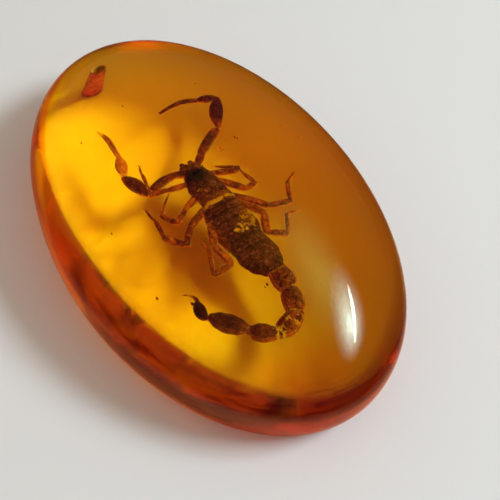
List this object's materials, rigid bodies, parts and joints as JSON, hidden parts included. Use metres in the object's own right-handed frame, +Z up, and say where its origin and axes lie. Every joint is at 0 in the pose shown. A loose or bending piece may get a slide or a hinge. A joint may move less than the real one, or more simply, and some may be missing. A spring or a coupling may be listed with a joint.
{
  "type": "scorpion in an oval resin cabochon",
  "caption": "Dried scorpion sealed in a clear amber-coloured oval resin cabochon with a flat base, a high dome and a drilled cord hole.",
  "frame": {"origin": "middle of the flat base, on the surface that the cabochon rests on", "axes": "+X along the oval's length, away from the cord hole; +Y across its width; +Z up, out of the dome"},
  "size_m": [0.06, 0.036, 0.0149],
  "materials": {
    "amber_resin": "clear amber-coloured cast resin, polished to a high gloss",
    "scorpion_shell": "dried dark red-brown shell, satin, with paler limb ends and joints"
  },
  "bodies": {
    "root": {"resin_base": "amber_resin", "resin_dome": "amber_resin", "scorpion": "scorpion_shell"}
  },
  "joints": []
}
